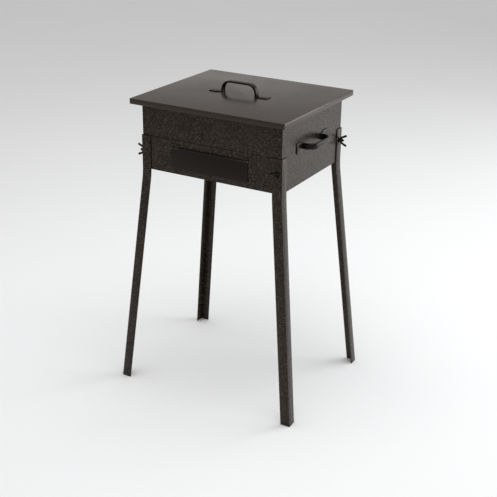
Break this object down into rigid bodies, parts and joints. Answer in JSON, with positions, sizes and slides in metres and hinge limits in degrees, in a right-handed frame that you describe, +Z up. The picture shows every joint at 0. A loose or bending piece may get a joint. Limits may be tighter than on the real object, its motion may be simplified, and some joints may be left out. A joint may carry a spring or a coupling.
{
  "type": "gas forge",
  "caption": "Lidded box forge on splayed angle-iron legs with wing nuts, carry handles, a flap over the front mouth and a rear gas burner.",
  "frame": {"origin": "on the floor, under the middle of the firebox and of the four feet", "axes": "+Z up; -Y towards the front, where the mouth is; +X towards the right-hand carry handle"},
  "size_m": [0.5432, 0.425, 0.8505],
  "materials": {
    "hammered_enamel": "dark brown-black hammered enamel, semi-gloss",
    "lid_enamel": "dark brown-black enamel, smoother, with a soft sheen",
    "smooth_enamel": "smooth dark enamel",
    "black_steel": "black lacquered steel, semi-gloss",
    "bare_steel": "plain zinc-plated steel",
    "refractory": "rough pale fired clay board",
    "brass": "turned brass",
    "red_plastic": "satin red moulded knob"
  },
  "bodies": {
    "forge": {"floor_pan": "hammered_enamel", "left_panel": "hammered_enamel", "right_panel": "hammered_enamel", "rear_panel": "hammered_enamel", "front_upper_panel": "hammered_enamel", "front_lower_panel": "hammered_enamel", "front_left_rivet": "hammered_enamel", "front_right_rivet": "hammered_enamel", "left_rim_rivet": "hammered_enamel", "right_rim_rivet": "hammered_enamel", "door_bracket_left": "hammered_enamel", "door_bracket_right": "hammered_enamel", "leg_front_left": "hammered_enamel", "leg_front_right": "hammered_enamel", "leg_rear_right": "hammered_enamel", "leg_rear_left": "hammered_enamel", "front_seam_strip": "black_steel", "leg_bolt_front_left": "black_steel", "leg_bolt_front_right": "black_steel", "leg_bolt_rear_right": "black_steel", "leg_bolt_rear_left": "black_steel", "left_handle": "black_steel", "right_handle": "black_steel", "burner_elbow": "black_steel", "burner_flange": "black_steel", "mixing_tube": "black_steel", "door_pin": "bare_steel", "flange_screw_left": "bare_steel", "flange_screw_right": "bare_steel", "floor_tile": "refractory", "left_lining": "refractory", "right_lining": "refractory", "front_lining": "refractory", "rear_lining": "refractory", "jet_holder": "brass", "gas_jet": "brass", "valve_body": "brass", "hose_tail": "brass"},
    "lid": {"lid": "lid_enamel", "lid_board": "refractory", "lid_handle": "black_steel", "lid_board_anchor_1": "bare_steel", "lid_board_anchor_2": "bare_steel", "lid_board_anchor_3": "bare_steel", "lid_board_anchor_4": "bare_steel"},
    "mouth_door": {"mouth_door": "smooth_enamel"},
    "air_shutter": {"air_shutter": "brass"},
    "valve_control": {"valve_spindle": "bare_steel", "valve_knob": "red_plastic"},
    "wing_nut_front_left": {"wing_nut_front_left": "black_steel"},
    "wing_nut_front_right": {"wing_nut_front_right": "black_steel"},
    "wing_nut_rear_right": {"wing_nut_rear_right": "black_steel"},
    "wing_nut_rear_left": {"wing_nut_rear_left": "black_steel"}
  },
  "joints": [
    {"name": "lid_lift", "type": "slide", "parent": "forge", "child": "lid", "axis": [0, 0, 1], "range_m": [0, 0.3]},
    {"name": "mouth_door_hinge", "type": "hinge", "parent": "forge", "child": "mouth_door", "pos_m": [-0.004, -0.172, 0.697], "axis": [-1, 0, 0], "range_deg": [0, 110]},
    {"name": "air_shutter_turn", "type": "hinge", "parent": "forge", "child": "air_shutter", "pos_m": [-0.03, 0.194, 0.58], "axis": [0, 0, 1], "range_deg": [0, 45]},
    {"name": "valve_turn", "type": "hinge", "parent": "forge", "child": "valve_control", "pos_m": [-0.05, 0.194, 0.5287], "axis": [-1, 0, 0], "range_deg": [0, 270]},
    {"name": "wing_nut_front_left_turn", "type": "hinge", "parent": "forge", "child": "wing_nut_front_left", "pos_m": [-0.2083, -0.1583, 0.672], "axis": [-1, 0, 0], "continuous": true},
    {"name": "wing_nut_front_right_turn", "type": "hinge", "parent": "forge", "child": "wing_nut_front_right", "pos_m": [0.1948, -0.1718, 0.68], "axis": [0, -1, 0], "continuous": true},
    {"name": "wing_nut_rear_right_turn", "type": "hinge", "parent": "forge", "child": "wing_nut_rear_right", "pos_m": [0.2083, 0.1583, 0.686], "axis": [1, 0, 0], "continuous": true},
    {"name": "wing_nut_rear_left_turn", "type": "hinge", "parent": "forge", "child": "wing_nut_rear_left", "pos_m": [-0.1948, 0.1718, 0.68], "axis": [0, 1, 0], "continuous": true}
  ]
}
